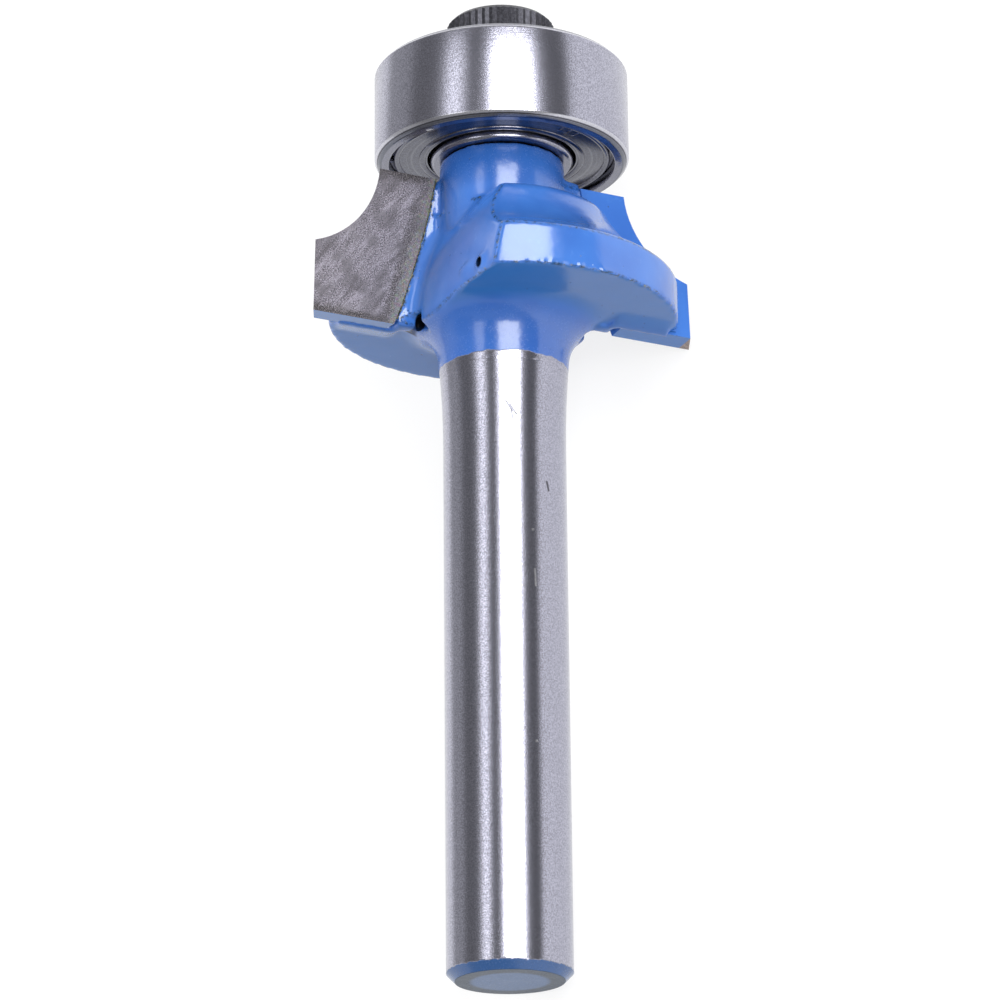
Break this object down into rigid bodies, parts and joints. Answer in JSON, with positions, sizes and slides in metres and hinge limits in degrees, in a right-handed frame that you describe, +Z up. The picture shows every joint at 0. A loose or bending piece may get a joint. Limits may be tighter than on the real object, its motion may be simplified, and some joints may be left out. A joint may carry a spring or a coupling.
{
  "type": "router bit",
  "caption": "Guided round-over router bit with brazed carbide tips, a plain round shank and a ball bearing held by a socket head screw.",
  "frame": {"origin": "on the flat surface that the bit lies on, under the middle of its footprint", "axes": "+Z up, +Y from the free end of the shank towards the guide bearing, level; the bit lies on the rim of its shank end, one tip corner and one heel of the cutter body, so its own axis rises by about 8 degrees towards the bearing"},
  "size_m": [0.017, 0.0494, 0.0152],
  "materials": {
    "body_steel": "ground steel shank, blue enamel on the cutter body and on the chamfer of the shank end",
    "carbide": "ground sintered carbide, dull and speckled",
    "braze": "coppery braze",
    "ring_steel": "finely ground bearing steel, bright",
    "ball_steel": "polished balls",
    "cage_steel": "pressed steel",
    "shield_steel": "pressed steel, satin",
    "snap_steel": "spring steel, dark",
    "screw_black": "black oxide, satin"
  },
  "bodies": {
    "bit": {"bit_body": "body_steel", "carbide_tip_1": "carbide", "carbide_tip_2": "carbide", "braze_seam_1": "braze", "braze_seam_2": "braze", "bearing_inner_ring": "ring_steel", "cap_screw": "screw_black"},
    "guide_ring": {"bearing_outer_ring": "ring_steel", "shield_lower": "shield_steel", "shield_upper": "shield_steel", "snap_ring_lower": "snap_steel", "snap_ring_upper": "snap_steel"},
    "ball_cage": {"cage_lower_half": "cage_steel", "cage_upper_half": "cage_steel", "bearing_ball_1": "ball_steel", "bearing_ball_2": "ball_steel", "bearing_ball_3": "ball_steel", "bearing_ball_4": "ball_steel", "bearing_ball_5": "ball_steel", "bearing_ball_6": "ball_steel", "bearing_ball_7": "ball_steel"}
  },
  "joints": [
    {"name": "guide_spin", "type": "hinge", "parent": "bit", "child": "guide_ring", "pos_m": [0, 0.01923, 0.00858], "axis": [0, 0.9917, 0.1285], "continuous": true},
    {"name": "cage_spin", "type": "hinge", "parent": "bit", "child": "ball_cage", "pos_m": [0, 0.01923, 0.00858], "axis": [0, 0.9917, 0.1285], "continuous": true}
  ],
  "couplings": [
    {"joint": "cage_spin", "follows": "guide_spin", "ratio": 0.63636}
  ]
}
